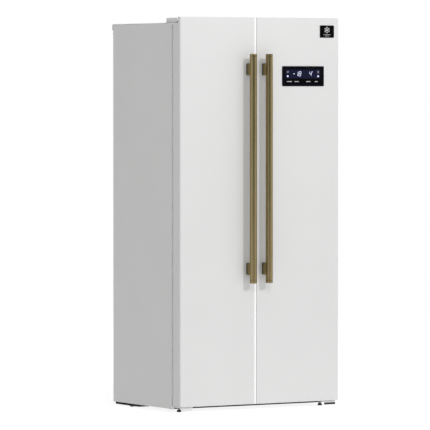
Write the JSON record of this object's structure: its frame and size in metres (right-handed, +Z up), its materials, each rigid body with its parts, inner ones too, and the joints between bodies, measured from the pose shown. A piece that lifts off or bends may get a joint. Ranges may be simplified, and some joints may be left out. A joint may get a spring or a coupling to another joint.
{
  "type": "side by side refrigerator",
  "caption": "Free-standing side by side refrigerator with a freezer and a fresh food compartment behind full-height hinged doors with bar handles and a door display.",
  "frame": {"origin": "on the floor, under the middle of the bounding box with the doors closed", "axes": "+Z up, front doors face -Y, +X is to the right of someone facing the doors; freezer at -X, fresh food at +X"},
  "size_m": [0.836, 0.665, 1.757],
  "materials": {
    "white_enamel": "smooth semi-gloss white enamel on sheet steel",
    "insulation": "rigid closed-cell polyurethane foam, hidden inside the walls",
    "white_plastic": "satin white moulded plastic",
    "galvanised_steel": "dull zinc-plated sheet",
    "black_steel": "satin black paint",
    "black_plastic": "matte black moulded plastic",
    "aluminium": "dull rolled fins and tube",
    "shelf_glass": "clear toughened glass with a white front trim",
    "clear_plastic": "clear moulded polystyrene",
    "door_seal": "soft grey-white magnetic seal",
    "antique_brass": "vertically brushed, dark bronze-toned brass",
    "black_glass": "gloss black glass face"
  },
  "bodies": {
    "cabinet": {"outer_wrapper": "white_enamel", "front_frame": "white_enamel", "cabinet_foam": "insulation", "back_panel": "galvanised_steel", "chassis": "black_steel", "machine_cover": "black_plastic", "compressor": "black_steel", "freezer_liner": "white_plastic", "fridge_liner": "white_plastic", "freezer_duct_cover": "white_plastic", "fridge_duct_cover": "white_plastic", "evaporator": "aluminium", "freezer_shelf_1": "shelf_glass", "freezer_shelf_2": "shelf_glass", "crisper_cover": "shelf_glass", "fridge_shelf_1": "shelf_glass", "fridge_shelf_2": "shelf_glass", "fridge_shelf_3": "shelf_glass", "ice_maker_frame": "white_plastic", "freezer_top_hinge": "galvanised_steel", "freezer_hinge_cover": "white_plastic", "freezer_bottom_hinge": "white_enamel", "fridge_top_hinge": "galvanised_steel", "fridge_hinge_cover": "white_plastic", "fridge_bottom_hinge": "white_enamel"},
    "freezer_door": {"freezer_door_skin": "white_enamel", "freezer_door_foam": "insulation", "freezer_door_liner": "white_plastic", "freezer_door_gasket": "door_seal", "freezer_door_top_cap": "white_plastic", "freezer_door_bottom_cap": "white_plastic", "freezer_handle_bar": "antique_brass", "freezer_handle_post_upper": "antique_brass", "freezer_handle_post_lower": "antique_brass", "freezer_door_bin_upper": "clear_plastic", "freezer_door_bin_lower": "clear_plastic"},
    "fridge_door": {"fridge_door_skin": "white_enamel", "fridge_door_foam": "insulation", "fridge_door_liner": "white_plastic", "fridge_door_gasket": "door_seal", "fridge_door_top_cap": "white_plastic", "fridge_door_bottom_cap": "white_plastic", "fridge_handle_bar": "antique_brass", "fridge_handle_post_upper": "antique_brass", "fridge_handle_post_lower": "antique_brass", "fridge_door_bin_upper": "clear_plastic", "fridge_door_bin_middle": "clear_plastic", "fridge_door_bin_lower": "clear_plastic", "display_module": "black_glass", "door_badge": "black_glass"},
    "freezer_drawer_lower": {"freezer_drawer_lower": "clear_plastic"},
    "freezer_drawer_upper": {"freezer_drawer_upper": "clear_plastic"},
    "crisper_drawer": {"crisper_drawer": "clear_plastic"},
    "ice_bucket": {"ice_bucket": "clear_plastic"},
    "ice_tray": {"ice_tray": "white_plastic"},
    "evaporator_fan": {"evaporator_fan": "black_plastic"},
    "levelling_foot_left": {"levelling_foot_left": "galvanised_steel"},
    "levelling_foot_right": {"levelling_foot_right": "galvanised_steel"},
    "rear_caster_left": {"rear_caster_left": "black_plastic"},
    "rear_caster_right": {"rear_caster_right": "black_plastic"}
  },
  "joints": [
    {"name": "freezer_door_hinge", "type": "hinge", "parent": "cabinet", "child": "freezer_door", "pos_m": [-0.398, -0.2295, 0.9], "axis": [0, 0, -1], "range_deg": [0, 115]},
    {"name": "fridge_door_hinge", "type": "hinge", "parent": "cabinet", "child": "fridge_door", "pos_m": [0.398, -0.2295, 0.9], "axis": [0, 0, 1], "range_deg": [0, 115]},
    {"name": "freezer_drawer_lower_slide", "type": "slide", "parent": "cabinet", "child": "freezer_drawer_lower", "axis": [0, -1, 0], "range_m": [0, 0.07]},
    {"name": "freezer_drawer_upper_slide", "type": "slide", "parent": "cabinet", "child": "freezer_drawer_upper", "axis": [0, -1, 0], "range_m": [0, 0.07]},
    {"name": "crisper_drawer_slide", "type": "slide", "parent": "cabinet", "child": "crisper_drawer", "axis": [0, -1, 0], "range_m": [0, 0.07]},
    {"name": "ice_bucket_slide", "type": "slide", "parent": "cabinet", "child": "ice_bucket", "axis": [0, -1, 0], "range_m": [0, 0.07]},
    {"name": "ice_tray_twist", "type": "hinge", "parent": "cabinet", "child": "ice_tray", "pos_m": [-0.209, 0.0505, 1.612], "axis": [0, 1, 0], "range_deg": [0, 140], "stiffness_Nm_per_rad": 0.25, "springref_deg": -20.05},
    {"name": "evaporator_fan_spin", "type": "hinge", "parent": "cabinet", "child": "evaporator_fan", "pos_m": [-0.209, 0.2305, 0.69], "axis": [0, 1, 0], "continuous": true},
    {"name": "levelling_foot_left_turn", "type": "hinge", "parent": "cabinet", "child": "levelling_foot_left", "pos_m": [-0.372, -0.1835, 0.01], "axis": [0, 0, 1], "continuous": true},
    {"name": "levelling_foot_right_turn", "type": "hinge", "parent": "cabinet", "child": "levelling_foot_right", "pos_m": [0.372, -0.1835, 0.01], "axis": [0, 0, 1], "continuous": true},
    {"name": "rear_caster_left_roll", "type": "hinge", "parent": "cabinet", "child": "rear_caster_left", "pos_m": [-0.397, 0.1875, 0.023], "axis": [1, 0, 0], "continuous": true},
    {"name": "rear_caster_right_roll", "type": "hinge", "parent": "cabinet", "child": "rear_caster_right", "pos_m": [0.397, 0.1875, 0.023], "axis": [1, 0, 0], "continuous": true}
  ]
}
